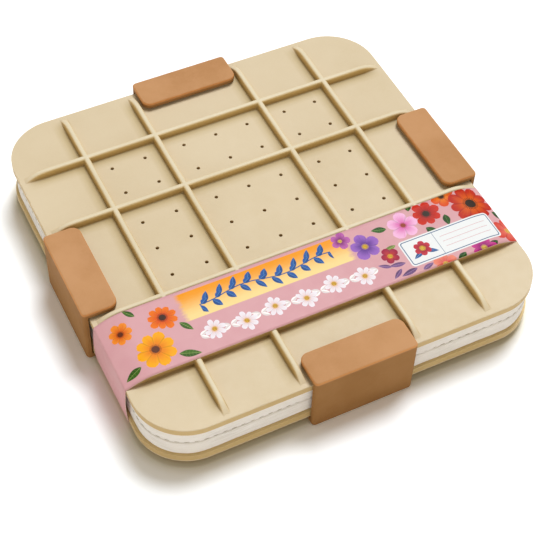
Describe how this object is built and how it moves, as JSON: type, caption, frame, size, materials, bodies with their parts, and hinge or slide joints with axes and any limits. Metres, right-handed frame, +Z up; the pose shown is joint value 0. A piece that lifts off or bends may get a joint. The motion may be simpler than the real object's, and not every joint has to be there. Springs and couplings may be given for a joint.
{
  "type": "flower press",
  "caption": "Flat square press: two ribbed, vented plastic plates squeeze felt pads and cloth liners, held shut by push-on clips along the edges, with a card band round the stack.",
  "frame": {"origin": "middle of the base, on the surface that the press lies on", "axes": "+Z up through the stack, +X along the card band, -Y towards the band's side of the press"},
  "size_m": [0.2366, 0.2366, 0.0377],
  "materials": {
    "plate": "moulded beige plastic with a fine satin grain",
    "felt": "thick off-white wool felt with a stitched edge",
    "liner": "thin woven cotton",
    "clip": "moulded caramel plastic, satin",
    "card": "coated pink card printed with flowers"
  },
  "bodies": {
    "press": {"bottom_plate": "plate", "lower_wool_pad": "felt", "lower_liner": "liner", "upper_liner": "liner", "upper_wool_pad": "felt", "top_plate": "plate"},
    "front_clip": {"clip_front": "clip"},
    "right_clip": {"clip_right": "clip"},
    "back_clip": {"clip_back": "clip"},
    "left_clip": {"clip_left": "clip"},
    "band": {"sleeve": "card"}
  },
  "joints": [
    {"name": "front_clip_slide", "type": "slide", "parent": "press", "child": "front_clip", "axis": [0, -1, 0], "range_m": [0, 0.04]},
    {"name": "right_clip_slide", "type": "slide", "parent": "press", "child": "right_clip", "axis": [1, 0, 0], "range_m": [0, 0.04]},
    {"name": "back_clip_slide", "type": "slide", "parent": "press", "child": "back_clip", "axis": [0, 1, 0], "range_m": [0, 0.04]},
    {"name": "left_clip_slide", "type": "slide", "parent": "press", "child": "left_clip", "axis": [-1, 0, 0], "range_m": [0, 0.04]},
    {"name": "band_slide", "type": "slide", "parent": "press", "child": "band", "axis": [0, 1, 0], "range_m": [-0.017, 0.004]}
  ]
}
